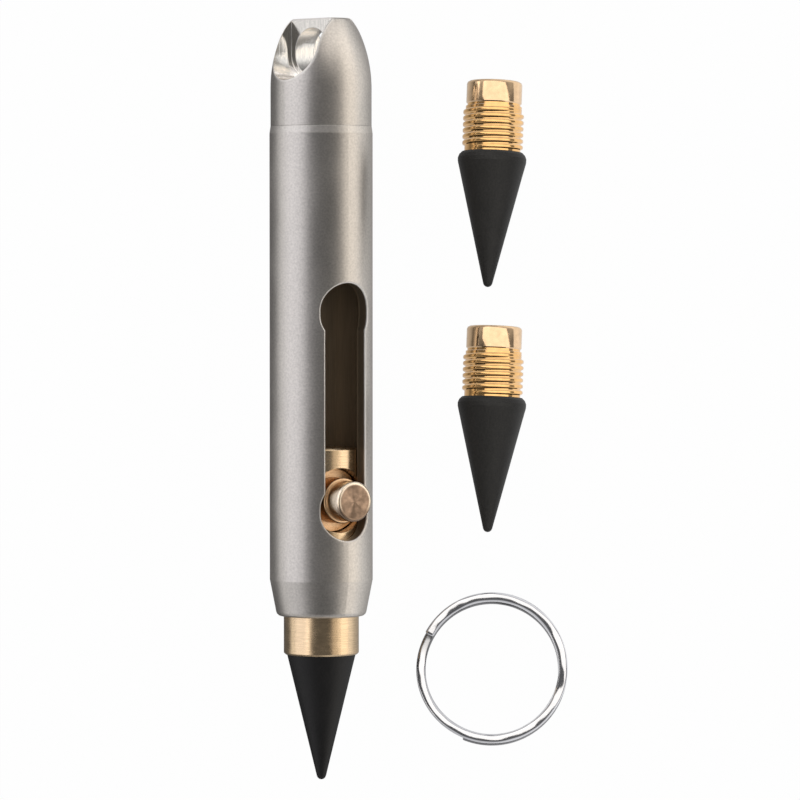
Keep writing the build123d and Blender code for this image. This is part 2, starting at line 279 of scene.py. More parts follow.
def bare_in_barrel(tree, place):
    """Where the barrel is bare (1) or skin (0), how much painted highlight its edges get, and the bare
    metal's colour.
    """
    sizes = bpy.context.scene.pencil_sizes
    colours = bpy.context.scene.pencil_colours
    radius, along = from_axis(tree, place)
    outside = (barrel_high.x - barrel_low.x) / 2
    inside = add_node(tree, "Math", (radius, outside - 0.02 * MM), operation="LESS_THAN")[0]
    # The mouth's taper and the seam keep their skin
    bare_low = barrel_low.y + 4 * MM
    bare_high = barrel_high.y - 1 * MM
    span = (along, (bare_low + bare_high) / 2, (bare_high - bare_low) / 2)
    between = add_node(tree, "Math", span, operation="COMPARE")[0]
    bare = add_node(tree, "Math", (inside, between), operation="MULTIPLY")[0]
    # A narrow band at the seam was turned after blasting, and gets a little painted highlight
    band = 0.7 * MM
    seam_painted_highlight = 0.12
    at_seam = add_node(tree, "Math", (along, barrel_high.y - band), operation="GREATER_THAN")[0]
    seam = add_node(tree, "Math", (at_seam, seam_painted_highlight), operation="MULTIPLY")[0]
    # The slot seen along its own direction is a straight run with a stretched round pocket at each end
    slot_middle = barrel_low.y + sizes.pocket_from_mouth + sizes.slot_run / 2
    turned = turned_place(tree, place, slot_middle, sizes.slot_azimuth)
    folded = add_node(tree, "VectorMath", (turned,), operation="ABSOLUTE")[0]
    folded = add_node(tree, "SeparateXYZ", (folded,))
    beyond = add_node(tree, "Math", (folded["Y"], sizes.slot_run / 2), operation="SUBTRACT")[0]
    beside = add_node(tree, "Math", (folded["X"], sizes.slot_radius), operation="SUBTRACT")[0]
    run = add_node(tree, "Math", (beside, beyond), operation="MAXIMUM")[0]
    off_middle = add_node(tree, "Math", (beyond,), operation="ABSOLUTE")[0]
    past_stretch = add_node(tree, "Math", (off_middle, sizes.pocket_stretch / 2), operation="SUBTRACT")[0]
    past_stretch = add_node(tree, "Math", (past_stretch, 0), operation="MAXIMUM")[0]
    reach = diagonal(tree, folded["X"], past_stretch)
    pocket = add_node(tree, "Math", (reach, sizes.pocket_radius), operation="SUBTRACT")[0]
    # Its rim gets a painted highlight, full to 0.04 mm from the edge and fading out by 0.15 mm
    from_slot = add_node(tree, "Math", (run, pocket), operation="MINIMUM")[0]
    rim = add_node(tree, "MapRange", (from_slot, 0.04 * MM, 0.15 * MM, 1, 0))[0]
    depth = add_node(tree, "SeparateXYZ", (turned,))["Z"]
    slot_side = add_node(tree, "Math", (depth, 0), operation="GREATER_THAN")[0]
    rim = add_node(tree, "Math", (rim, slot_side), operation="MULTIPLY")[0]
    # The seam's band and the slot's rim together make the painted highlight
    painted_highlight = add_node(tree, "Math", (seam, rim), operation="MAXIMUM")[0]
    # The bore is dull and dark brown. Below their bright rim the slot's walls get painted shade: the machined
    # colour fades into the bore's colour, darkened to 0.45
    wall_start = sizes.bore_radius + 0.05 * MM
    wall_shade = 0.45
    light = add_node(tree, "MapRange", (radius, wall_start, wall_start + 0.2 * MM, 1, wall_shade))[0]
    bore = add_node(tree, "VectorMath", {0: colours.bore, "Scale": light}, operation="SCALE")[0]
    deep = add_node(tree, "MapRange", (radius, outside - 0.13 * MM, outside - 0.3 * MM, 0, 1))[0]
    metal = add_node(tree, "Mix", {0: deep, 6: (*colours.machined, 1), 7: bore}, data_type="RGBA")[2]
    return bare, painted_highlight, metal


def bare_in_cap(tree, place):
    """Where the tail is bare (1) or skin (0), how much painted highlight its edges get, and the bare metal's
    colour.
    """
    sizes = bpy.context.scene.pencil_sizes
    radius, along = from_axis(tree, place)
    cap_radius = (cap_high.x - cap_low.x) / 2
    # The dome is an arc that meets the cap's side, and what lies under it is cut
    arc = (sizes.dome_inset**2 + sizes.dome_length**2) / (2 * sizes.dome_inset)
    run = add_node(tree, "Math", (along, cap_high.y - sizes.dome_length), operation="SUBTRACT")[0]
    run = add_node(tree, "Math", (run, 0), operation="MAXIMUM")[0]
    reach = add_node(tree, "Math", (radius, cap_radius - arc), operation="SUBTRACT")[0]
    from_arc = diagonal(tree, run, reach)
    under_dome = add_node(tree, "Math", (from_arc, arc - 0.035 * MM), operation="LESS_THAN")[0]
    below_end = add_node(tree, "Math", (along, cap_high.y - 0.17 * MM), operation="LESS_THAN")[0]
    bare = add_node(tree, "Math", (under_dome, below_end), operation="MULTIPLY")[0]
    # The recess seen along its own direction is a U about the ring hole
    turned = turned_place(tree, place, cap_high.y - sizes.hole_from_end, sizes.hole_azimuth)
    parts = add_node(tree, "SeparateXYZ", (turned,))
    below = add_node(tree, "Math", (parts["Y"], 0), operation="MINIMUM")[0]
    outline = diagonal(tree, parts["X"], below)
    half_width = sizes.recess_width / 2
    # Skin at the recess's edge gets a painted highlight at half strength, fading out 0.22 mm beyond it
    painted_highlight = add_node(tree, "MapRange", (outline, half_width, half_width + 0.22 * MM, 0.5, 0))[0]
    return bare, painted_highlight, bpy.context.scene.pencil_colours.machined


def blasted_aluminium(name, bare_places, cut_metallic, cut_roughness):
    """Bead-blasted aluminium: beads leave a satin grey skin of tiny pits, so light spreads wide on it.

    Where a tool cut it after blasting it is bare: brighter, streaked and glossier than the skin. The skin at
    the edges of a cut gets a pale painted highlight, and rough cutter's marks throw light about, as if the
    cut were less metallic.
    """
    colours = bpy.context.scene.pencil_colours
    material, tree, shader, place = new_material(name, colours.blasted, 1.0, 0.4)
    # A real pit is about 0.05 mm, too fine for this view, so the pits are drawn 0.2 mm wide
    pits = grain(tree, place, [0.2 * MM] * 3)
    # Uneven blasting clouds the skin every few millimetres
    clouds = grain(tree, place, (3 * MM, 6 * MM, 3 * MM))
    skin = shaded(tree, colours.blasted, (pits, 0.88, 1.1), (clouds, 0.95, 1.04))
    satin = add_node(tree, "MapRange", (clouds, *NOISE_SPAN, 0.38, 0.44))[0]
    bare, painted_highlight, metal = bare_places(tree, place)
    covered = add_node(tree, "Math", (1, bare), operation="SUBTRACT")[0]
    painted_highlight = add_node(tree, "Math", (painted_highlight, covered), operation="MULTIPLY")[0]
    # The cutter's marks run along the pencil, 0.12 mm apart
    streaks = grain(tree, place, (0.12 * MM, 3 * MM, 0.12 * MM))
    cut = shaded(tree, metal, (streaks, 0.85, 1.05))
    pit_height = add_node(tree, "Math", (pits, 0.4), operation="MULTIPLY")[0]
    streak_height = add_node(tree, "Math", (streaks, 0.5), operation="MULTIPLY")[0]
    height = add_node(tree, "MapRange", (bare, 0, 1, pit_height, streak_height))[0]
    # An edge with the painted highlight is also worn down
    height = add_node(tree, "Math", (painted_highlight, -3.0, height), operation="MULTIPLY_ADD")[0]
    metallic = add_node(tree, "MapRange", (bare, 0, 1, 1, cut_metallic))[0]
    metallic = add_node(tree, "MapRange", (painted_highlight, 0, 1, metallic, 0))[0]
    roughness = add_node(tree, "MapRange", (bare, 0, 1, satin, cut_roughness))[0]
    # The painted highlight takes the cut metal's pale colour
    bright = add_node(tree, "Math", (bare, painted_highlight), operation="MAXIMUM")[0]
    shown = add_node(tree, "Mix", {0: bright, 6: skin, 7: cut}, data_type="RGBA")[2]
    edge = add_node(tree, "Bevel", {"Radius": 0.1 * MM}, samples=6)[0]
    relief = {"Height": height, "Strength": 0.35, "Distance": 0.03 * MM, "Normal": edge}
    bumps = add_node(tree, "Bump", relief)[0]
    set_inputs(tree, shader, {"Base Color": shown, "Metallic": metallic})
    set_inputs(tree, shader, {"Roughness": roughness, "Normal": bumps})
    return material


def turned_brass():
    """Turned brass: yellow metal with fine rings left by the lathe all along the slider."""
    base = bpy.context.scene.pencil_colours.brass
    material, tree, shader, place = new_material("Turned brass", base, 1.0, 0.24)
    # Feed marks 0.1 mm apart that fade in and out around the slider
    rings = grain(tree, place, (1.6 * MM, 0.1 * MM, 1.6 * MM), 3.0)
    stains = grain(tree, place, [1.2 * MM] * 3)
    shown = shaded(tree, base, (rings, 0.86, 1.08), (stains, 0.94, 1.05))
    roughness = add_node(tree, "MapRange", (stains, *NOISE_SPAN, 0.2, 0.3))[0]
    edge = add_node(tree, "Bevel", {"Radius": 0.08 * MM}, samples=6)[0]
    relief = {"Height": rings, "Strength": 0.25, "Distance": 0.02 * MM, "Normal": edge}
    bumps = add_node(tree, "Bump", relief)[0]
    set_inputs(tree, shader, {"Base Color": shown, "Roughness": roughness, "Normal": bumps})
    return material


def faced_brass():
    """Faced brass: the button was turned about its own axis, so its end shows rings about its middle."""
    sizes = bpy.context.scene.pencil_sizes
    colours = bpy.context.scene.pencil_colours
    material, tree, shader, place = new_material("Faced brass", colours.button_head_lit, 1.0, 0.3)
    button_along = barrel_low.y + sizes.button_from_mouth
    own = turned_place(tree, place, button_along, sizes.slot_azimuth)
    flat = add_node(tree, "VectorMath", (own, (1, 1, 0)), operation="MULTIPLY")[0]
    radius = add_node(tree, "VectorMath", (flat,), operation="LENGTH")["Value"]
    parts = add_node(tree, "SeparateXYZ", (own,))
    # Rings 0.16 mm apart on the end, and down the button's side
    from_middle = add_node(tree, "Math", (radius, parts["Z"]), operation="ADD")[0]
    ring_count = add_node(tree, "Math", (from_middle, 0.16 * MM), operation="DIVIDE")[0]
    rings = add_node(tree, "TexNoise", {"W": ring_count, "Detail": 2.0}, noise_dimensions="1D")["Fac"]
    stains = grain(tree, place, [0.7 * MM] * 3)
    # On the darkened end, painted highlights come in wedges about its middle, as turned rings throw light in
    # a fan, broken into patches of half a millimetre
    outwards = add_node(tree, "VectorMath", (flat,), operation="NORMALIZE")[0]
    painted_sector_highlights = grain(tree, outwards, [0.85] * 3, 1.0)
    painted_sector_highlights = add_node(tree, "MapRange", (painted_sector_highlights, 0.35, 0.65, 0.65, 1.4))[0]
    patches = grain(tree, place, [0.45 * MM] * 3, 4.0)
    patches = add_node(tree, "MapRange", (patches, 0.34, 0.66, 0.78, 1.22))[0]
    # wear: the painted wedge highlights times the patches
    wear = add_node(tree, "Math", (painted_sector_highlights, patches), operation="MULTIPLY")[0]
    # Painted shade darkens the flat end and the rim towards the tip, and the rest of the rim keeps the head's
    # lit colour as a painted highlight
    flat_radius = sizes.head_radius - sizes.head_round
    inner = add_node(tree, "MapRange", (radius, flat_radius, flat_radius - 0.1 * MM, 0, 1))[0]
    rounding_start = sizes.button_top - sizes.head_round
    top = add_node(tree, "Math", (parts["Z"], rounding_start), operation="GREATER_THAN")[0]
    end = add_node(tree, "Math", (inner, top), operation="MULTIPLY")[0]
    tipwards = add_node(tree, "MapRange", (parts["Y"], -1.0 * MM, 0.1 * MM, 1, 0))[0]
    painted_rim_shade = add_node(tree, "Math", (top, tipwards), operation="MULTIPLY")[0]
    # dulled marks where the painted shade falls: the flat end and the rim towards the tip
    dulled = add_node(tree, "Math", (end, painted_rim_shade), operation="MAXIMUM")[0]
    # Above the shoulder the head takes the lit colour, below it the flange and shoulder take the shaded one:
    # painted light and shade
    head_start = sizes.shoulder_top + 0.02 * MM
    above = add_node(tree, "Math", (parts["Z"], head_start), operation="GREATER_THAN")[0]
    sockets = {0: above, 6: (*colours.button_flange_shade, 1), 7: (*colours.button_head_lit, 1)}
    base = add_node(tree, "Mix", sockets, data_type="RGBA")[2]
    # The painted shade takes the face's shaded colour
    base = add_node(tree, "Mix", {0: dulled, 6: base, 7: (*colours.button_face_shade, 1)}, data_type="RGBA")[2]
    shown = shaded(tree, base, (rings, 0.8, 1.1), (stains, 0.86, 1.08))
    # The painted wedge highlights and the patches show only on the end
    worn = add_node(tree, "MapRange", (end, 0, 1, 1, wear))[0]
    shown = add_node(tree, "VectorMath", {0: shown, "Scale": worn}, operation="SCALE")[0]
    roughness = add_node(tree, "MapRange", (end, 0, 1, 0.24, 0.34))[0]
    edge = add_node(tree, "Bevel", {"Radius": 0.1 * MM}, samples=6)[0]
    relief = {"Height": rings, "Strength": 0.3, "Distance": 0.02 * MM, "Normal": edge}
    bumps = add_node(tree, "Bump", relief)[0]
    # The rings spread light across themselves, in a fan about the button's middle
    middle = (axis_point.x, button_along, axis_point.z)
    spokes = add_node(tree, "VectorMath", (place, middle), operation="SUBTRACT")[0]
    own_axis = (sin(sizes.slot_azimuth), 0, cos(sizes.slot_azimuth))
    around = add_node(tree, "VectorMath", (own_axis, spokes), operation="CROSS_PRODUCT")[0]
    tangent = add_node(tree, "VectorMath", (around,), operation="NORMALIZE")[0]
    set_inputs(tree, shader, {"Base Color": shown, "Roughness": roughness, "Normal": bumps})
    set_inputs(tree, shader, {"Anisotropic": 0.8, "Tangent": tangent})
    return material


def polished_brass(name, base):
    """Polished brass: the bright golden stubs, whose thread was rolled and never touched by a tool again."""
    material, tree, shader, place = new_material(name, base, 1.0, 0.2)
    wear = grain(tree, place, [0.5 * MM] * 3, 3.0)
    roughness = add_node(tree, "MapRange", (wear, *NOISE_SPAN, 0.08, 0.17))[0]
    set_inputs(tree, shader, {"Base Color": shaded(tree, base, (wear, 0.85, 1.06)), "Roughness": roughness})
    return material


def polished_steel():
    """Polished steel: the tumbled split ring and the drawn spring, almost mirrors, with hair scratches."""
    base = bpy.context.scene.pencil_colours.steel
    material, tree, shader, place = new_material("Polished steel", base, 1.0, 0.1)
    scratches = grain(tree, place, (1.5 * MM, 0.15 * MM, 1.5 * MM), 3.0)
    roughness = add_node(tree, "MapRange", (scratches, 0.3, 0.8, 0.06, 0.2))[0]
    # Winding left the wire slightly wavy, every few millimetres along it
    waves = grain(tree, place, (3.4 * MM, 3.4 * MM, 0.8 * MM), 1.0)
    bumps = add_node(tree, "Bump", {"Height": waves, "Strength": 1.0, "Distance": 0.42 * MM})[0]
    # Painted shade: the lower turn is darkened, as if it lay in the upper one's shade
    above_table = add_node(tree, "SeparateXYZ", (place,))["Z"]
    turn_top = bpy.context.scene.pencil_sizes.wire_height
    blend, shade = 0.05 * MM, 0.35
    light = add_node(tree, "MapRange", (above_table, turn_top - blend, turn_top + blend, shade, 1))[0]
    shown = add_node(tree, "VectorMath", {0: base, "Scale": light}, operation="SCALE")[0]
    set_inputs(tree, shader, {"Base Color": shown, "Roughness": roughness, "Normal": bumps})
    return material


def graphite_alloy(name, base):
    """Graphite alloy: pressed metal and graphite, near black and dull, with a faint sheen at its edges."""
    material, tree, shader, place = new_material(name, base, 0.0, 0.55)
    # Pressed grains, drawn 0.16 mm wide
    grains = grain(tree, place, [0.16 * MM] * 3)
    smears = grain(tree, place, (1.5 * MM, 2.5 * MM, 1.5 * MM))
    shown = shaded(tree, base, (grains, 0.7, 1.3), (smears, 0.85, 1.15))
    bumps = add_node(tree, "Bump", {"Height": grains, "Strength": 0.3, "Distance": 0.02 * MM})[0]
    set_inputs(tree, shader, {"Base Color": shown, "Specular IOR Level": 0.35, "Normal": bumps})
    return material


def dress(node, material):
    """Gives a CAD node a material through its object's slots."""
    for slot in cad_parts[node].material_slots:
        slot.material = material


def pick(kind, wanted):
    """Selects in edit mode only the vertices, edges or faces that wanted() says."""
    bpy.ops.mesh.select_mode(type=kind)
    bpy.ops.mesh.select_all(action="DESELECT")
    mesh = bmesh.from_edit_mesh(bpy.context.object.data)
    items = {"VERT": mesh.verts, "EDGE": mesh.edges, "FACE": mesh.faces}[kind]
    for item in items:
        if wanted(item):
            item.select_set(True)
    mesh.select_flush_mode()
    bmesh.update_edit_mesh(bpy.context.object.data)


def turn_end(outline):
    """Draws the selected end face along an outline of radius and height, as a lathe would leave it."""
    for (radius, height), (next_radius, next_height) in zip(outline, outline[1:]):
        bpy.ops.mesh.extrude_region_move(TRANSFORM_OT_translate={"value": (0, 0, next_height - height)})
        ratio = next_radius / radius
        bpy.ops.transform.resize(value=(ratio, ratio, 1))


def close_mesh():
    """Merges what coincides, turns all faces outwards and leaves edit mode."""
    bpy.ops.mesh.select_all(action="SELECT")
    coincident = 0.0005 * MM
    bpy.ops.mesh.remove_doubles(threshold=coincident)
    bpy.ops.mesh.normals_make_consistent(inside=False)
    bpy.ops.object.mode_set(mode="OBJECT")


def name_piece(name):
    """Names the active object and its mesh, and returns it."""
    piece = bpy.context.object
    piece.name = piece.data.name = name
    return piece


def only(piece):
    """Makes a piece the only one selected, and active."""
    bpy.ops.object.select_all(action="DESELECT")
    piece.select_set(True)
    bpy.context.view_layer.objects.active = piece


def settle(piece, place):
    """Puts a piece made about the world's origin in its place, and leaves the place in its mesh."""
    piece.data.transform(place)
    piece.data.update()


def turn_stub():
    """One stub about the world's z, its seat at z = 0 and its plain end down."""
    sizes = bpy.context.scene.pencil_sizes
    crest = (stub_high.x - stub_low.x) / 2
    core = crest - sizes.thread_depth
    pilot = crest - sizes.pilot_step
    bpy.ops.mesh.primitive_cylinder_add(
        vertices=ROUND_SIDES,
        radius=core,
        depth=sizes.thread_length,
        location=(0, 0, -sizes.thread_length / 2),
    )
    stub = name_piece("stub")
    bpy.ops.object.transform_apply(location=True)
    bpy.ops.object.mode_set(mode="EDIT")
    pick("FACE", lambda face: face.normal.z < -0.9)
    neck = pilot - sizes.neck_depth
    start = -sizes.thread_length
    end = start - sizes.pilot_length
    # The groove behind the thread, then the plain end with a chamfered rim
    turn_end(
        [
            (core, start),
            (neck, start - 0.04 * MM),
            (neck, start - 0.26 * MM),
            (pilot, start - 0.36 * MM),
            (pilot, end + 0.28 * MM),
            (pilot - 0.08 * MM, end + 0.1 * MM),
            (pilot - 0.26 * MM, end),
        ]
    )
    pick("FACE", lambda face: face.normal.z > 0.9)
    turn_end([(core, 0), (sizes.boss_radius, 0), (sizes.boss_radius, sizes.boss_length)])
    close_mesh()

    # One ridge, wound up the core. It rises out of the core over its first quarter turn, and sinks at its end
    ridge_share = 0.92
    ridge = sizes.thread_pitch * ridge_share
    crest_share = 0.5
    crest_round = 0.07 * MM
    overlap = 0.03 * MM
    sunk = (crest + core - overlap) / 2 - sizes.thread_depth
    bpy.ops.mesh.primitive_plane_add(
        size=1, location=(sunk, 0, start + ridge / 2 + overlap), rotation=(pi / 2, 0, 0)
    )
    bpy.ops.object.transform_apply(location=True, rotation=True)
    thread = name_piece("thread")
    bpy.ops.object.mode_set(mode="EDIT")
    bpy.ops.transform.resize(value=(sizes.thread_depth + overlap, 1, ridge))
    pick("VERT", lambda vert: vert.co.x > sunk)
    bpy.ops.transform.resize(value=(1, 1, crest_share))
    bpy.ops.mesh.bevel(offset=crest_round, segments=3, affect="VERTICES")
    bpy.ops.mesh.select_all(action="SELECT")
    turn_steps = 56
    quarter = turn_steps // 4
    steps = int((sizes.thread_length - ridge - 2 * overlap) / sizes.thread_pitch * turn_steps)
    reach = sunk
    for step in range(steps):
        # With no window, a spin turns the other way
        bpy.ops.mesh.spin(steps=1, angle=-2 * pi / turn_steps, center=(0, 0, 0), axis=(0, 0, 1))
        bpy.ops.transform.translate(value=(0, 0, sizes.thread_pitch / turn_steps))
        rise = sizes.thread_depth / quarter * ((step < quarter) - (step >= steps - quarter))
        if rise:
            ratio = (reach + rise) / reach
            bpy.ops.transform.resize(value=(ratio, ratio, 1), center_override=(0, 0, 0))
            reach += rise
    close_mesh()
    stub.select_set(True)
    thread.select_set(True)
    bpy.context.view_layer.objects.active = stub
    bpy.ops.object.join()
    only(stub)
    bpy.ops.object.shade_smooth_by_angle(angle=radians(38))
    colours = bpy.context.scene.pencil_colours
    stub.data.materials.append(polished_brass("Rolled brass", colours.thread_brass))
    stub.data.materials.append(polished_brass("Polished brass", colours.pilot_brass))
    # The plain end begins in its groove
    groove = start - 0.2 * MM
    for face in stub.data.polygons:
        face.material_index = face.center.z < groove
    return stub


def button_place(sizes):
    """The move that turns a piece from the world's z to the button's own axis, and puts it there."""
    middle = (axis_point.x, barrel_low.y + sizes.button_from_mouth, axis_point.z)
    return Matrix.Translation(middle) @ Matrix.Rotation(sizes.slot_azimuth, 4, "Y")


def round_corner(radius, height, rounding, steps):
    """Outline of a rounded outer corner, from its side to its end."""
    turns = [pi / 2 * step / steps for step in range(steps + 1)]
    return [(radius - rounding * (1 - cos(turn)), height - rounding * (1 - sin(turn))) for turn in turns]


class PencilButton(bpy.types.Operator):
    """Turns the lock button: a flange, a shoulder that locks, and a head with a shallow dish"""

    bl_idname = "pencil.lock_button"
    bl_label = "Lock button"

    def execute(self, context):
        sizes = context.scene.pencil_sizes
        bpy.ops.mesh.primitive_cylinder_add(
            vertices=ROUND_SIDES,
            radius=sizes.flange_radius,
            depth=sizes.flange_top - sizes.flange_under,
            location=(0, 0, (sizes.flange_top + sizes.flange_under) / 2),
        )
        button = name_piece("lock_button_turned")
        bpy.ops.object.transform_apply(location=True)
        bpy.ops.object.mode_set(mode="EDIT")
        pick("FACE", lambda face: face.normal.z > 0.9)
        shoulder_round = 0.15 * MM
        head = round_corner(sizes.head_radius, sizes.button_top, sizes.head_round, 5)
        # The lathe leaves a point in the middle of the dish
        point = 0.05 * MM
        turn_end(
            [
                (sizes.flange_radius, sizes.flange_top),
                (sizes.shoulder_radius, sizes.flange_top),
                *round_corner(sizes.shoulder_radius, sizes.shoulder_top, shoulder_round, 4),
                (sizes.head_radius, sizes.shoulder_top),
                *head,
                (head[-1][0] / 2, sizes.button_top - sizes.head_dish / 2),
                (point, sizes.button_top - sizes.head_dish),
            ]
        )
        close_mesh()
        settle(button, button_place(sizes))
        bpy.ops.object.shade_smooth_by_angle(angle=radians(35))
        button.data.materials.append(faced_brass())
        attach(button, "lock_button")
        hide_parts("lock_button")
        return {"FINISHED"}


class PencilSpring(bpy.types.Operator):
    """Winds the spring under the button"""

    bl_idname = "pencil.button_spring"
    bl_label = "Button spring"

    def execute(self, context):
        sizes = context.scene.pencil_sizes
        wire_radius = sizes.spring_wire / 2
        play = 0.02 * MM
        start = sizes.spring_floor + play + wire_radius
        height = sizes.flange_under - play - wire_radius - start
        wire_sides, turn_steps = 10, 28
        bpy.ops.mesh.primitive_circle_add(
            vertices=wire_sides,
            radius=wire_radius,
            fill_type="NGON",
            location=(sizes.spring_radius, 0, start),
            rotation=(pi / 2, 0, 0),
        )
        bpy.ops.object.transform_apply(location=True, rotation=True)
        bpy.ops.object.mode_set(mode="EDIT")
        steps = turn_steps * sizes.spring_turns
        for _ in range(steps):
            # With no window, a spin turns the other way
            bpy.ops.mesh.spin(steps=1, angle=-2 * pi / turn_steps, center=(0, 0, 0), axis=(0, 0, 1))
            bpy.ops.transform.translate(value=(0, 0, height / steps))
        close_mesh()
        spring = name_piece("button_spring_wound")
        place = button_place(sizes)
        settle(spring, place)
        bpy.ops.object.shade_smooth_by_angle(angle=radians(50))
        spring.data.materials.append(polished_steel())
        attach(spring, "slider")
        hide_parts("button_spring")
        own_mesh(spring)
        return {"FINISHED"}


class PencilStubs(bpy.types.Operator):
    """Turns a threaded stub, and puts one in the slider and one in each spare cone"""

    bl_idname = "pencil.threaded_stubs"
    bl_label = "Threaded stubs"

    def execute(self, context):
        sizes = context.scene.pencil_sizes
        stub = turn_stub()
        lean = Matrix.Rotation(-sizes.spare_yaw, 4, "Z") @ Matrix.Rotation(-sizes.spare_tilt, 4, "X")
        seat = Vector((axis_point.x, stub_high.y - sizes.thread_length - sizes.pilot_length, axis_point.z))
        places = [
            ("nib_stub", "nib", Matrix.Translation(seat)),
            ("spare_nib_1_stub", "barrel", Matrix.Translation(Vector(sizes.spare_seat_1)) @ lean),
            ("spare_nib_2_stub", "barrel", Matrix.Translation(Vector(sizes.spare_seat_2)) @ lean),
        ]
        tipward = Matrix.Rotation(pi / 2, 4, "X")
        for node, body, place in places:
            piece = bpy.data.objects.new(node + "_threaded", stub.data.copy())
            context.scene.collection.objects.link(piece)
            settle(piece, place @ tipward)
            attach(piece, body)
            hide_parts(node)
            # The photograph joins separate pictures, so no metal mirrors a stub or the ring
            piece.visible_glossy = False
        bpy.data.objects.remove(stub)
        return {"FINISHED"}


class PencilRing(bpy.types.Operator):
    """Winds the split ring from flat wire: a lower turn, a climb and an upper turn"""

    bl_idname = "pencil.split_ring"
    bl_label = "Split ring"

    def execute(self, context):
        sizes = context.scene.pencil_sizes
        wire_radius = (ring_high.x - ring_low.x) / 2 - sizes.wire_width / 2
        climb_angle = sizes.ring_lower_end - sizes.ring_upper_end
        turn_angle = 2 * pi - climb_angle
        rise = ring_high.z - ring_low.z - sizes.wire_height
        # The wire is wound from its lower end on +x, and turned into place afterwards
        centre = Matrix.Rotation(-sizes.ring_lower_end, 3, "Z") @ Vector((0, -sizes.ring_slip, 0))
        bpy.ops.mesh.primitive_plane_add(
            size=1,
            location=centre + Vector((wire_radius, 0, sizes.wire_height / 2)),
            rotation=(pi / 2, 0, 0),
        )
        bpy.ops.object.transform_apply(location=True, rotation=True)
        bpy.ops.object.mode_set(mode="EDIT")
        bpy.ops.transform.resize(value=(sizes.wire_width, 1, sizes.wire_height))
        bpy.ops.mesh.bevel(offset=sizes.wire_round, segments=5, affect="VERTICES")
        # With no window, a spin turns the other way
        turn_steps, climb_steps = 106, 38
        bpy.ops.mesh.spin(steps=turn_steps, angle=-turn_angle, center=centre, axis=(0, 0, 1))
        slip = centre.copy()
        for step in range(climb_steps):
            bpy.ops.mesh.spin(steps=1, angle=-climb_angle / climb_steps, center=centre, axis=(0, 0, 1))
            share = (cos(pi * step / climb_steps) - cos(pi * (step + 1) / climb_steps)) / 2
            bpy.ops.transform.translate(value=Vector((0, 0, rise * share)) - slip * share)
            centre -= slip * share
        bpy.ops.mesh.spin(steps=turn_steps, angle=-turn_angle, center=centre, axis=(0, 0, 1))
        # Only the two cut ends have more than four corners, and tumbling has rounded their edges
        pick("FACE", lambda face: len(face.verts) > 4)
        end_round = 0.14 * MM
        bpy.ops.mesh.bevel(offset=end_round, segments=3, affect="EDGES")
        close_mesh()
        ring = name_piece("key_ring_wound")
        settle(ring, Matrix.Translation(ring_centre) @ Matrix.Rotation(sizes.ring_lower_end, 4, "Z"))
        bpy.ops.object.shade_smooth_by_angle(angle=radians(40))
        ring.data.materials.append(polished_steel())
        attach(ring, "barrel")
        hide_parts("key_ring")
        ring.visible_glossy = False
        return {"FINISHED"}


class PencilBarrel(bpy.types.Operator):
    """Blasts the barrel and the tail cap"""

    bl_idname = "pencil.blasted_barrel"
    bl_label = "Blasted barrel and cap"

    def execute(self, context):
        dress("barrel", blasted_aluminium("Blasted aluminium barrel", bare_in_barrel, 0.4, 0.3))
        dress("tail_cap", blasted_aluminium("Blasted aluminium cap", bare_in_cap, 1.0, 0.16))
        return {"FINISHED"}


class PencilBrass(bpy.types.Operator):
    """Turns the slider bright"""

    bl_idname = "pencil.brass_slider"
    bl_label = "Brass slider"

    def execute(self, context):
        dress("slider", turned_brass())
        return {"FINISHED"}


class PencilCones(bpy.types.Operator):
    """Gives the three cones their graphite alloy"""

    bl_idname = "pencil.graphite_cones"
    bl_label = "Graphite cones"

    def execute(self, context):
        colours = context.scene.pencil_colours
        dress("nib_cone", graphite_alloy("Graphite alloy", colours.graphite))
        new = graphite_alloy("Lighter graphite alloy", colours.spare_graphite)
        for node in ("spare_nib_1_cone", "spare_nib_2_cone"):
            dress(node, new)
        return {"FINISHED"}


def add_soft_box(name, place, size, brightness, tint, subjects):
    """Its power follows from its size and its radiance.
    """
    aim = Vector((0, 0, axis_point.z))
    bpy.ops.object.light_add(type="AREA", location=place)
    box = bpy.context.object
    box.name = box.data.name = name
    box.rotation_euler = (aim - Vector(place)).to_track_quat("-Z", "Y").to_euler()
    box.data.shape = "RECTANGLE"
    box.data.size, box.data.size_y = size
    box.data.energy = brightness * pi * size[0] * size[1]
    box.data.color = linear(tint)
    lit = bpy.data.collections.new(name + "_subjects")
    for subject in subjects:
        lit.objects.link(subject)
    box.light_linking.receiver_collection = lit
    return box


def seen_plainly(tree):
    """1 where the camera looks straight at something, 0 for light that metal or paper gathers."""
    rays = add_node(tree, "LightPath")
    straight = (rays["Is Camera Ray"], rays["Is Transmission Ray"])
    return add_node(tree, "Math", straight, operation="MAXIMUM")[0]


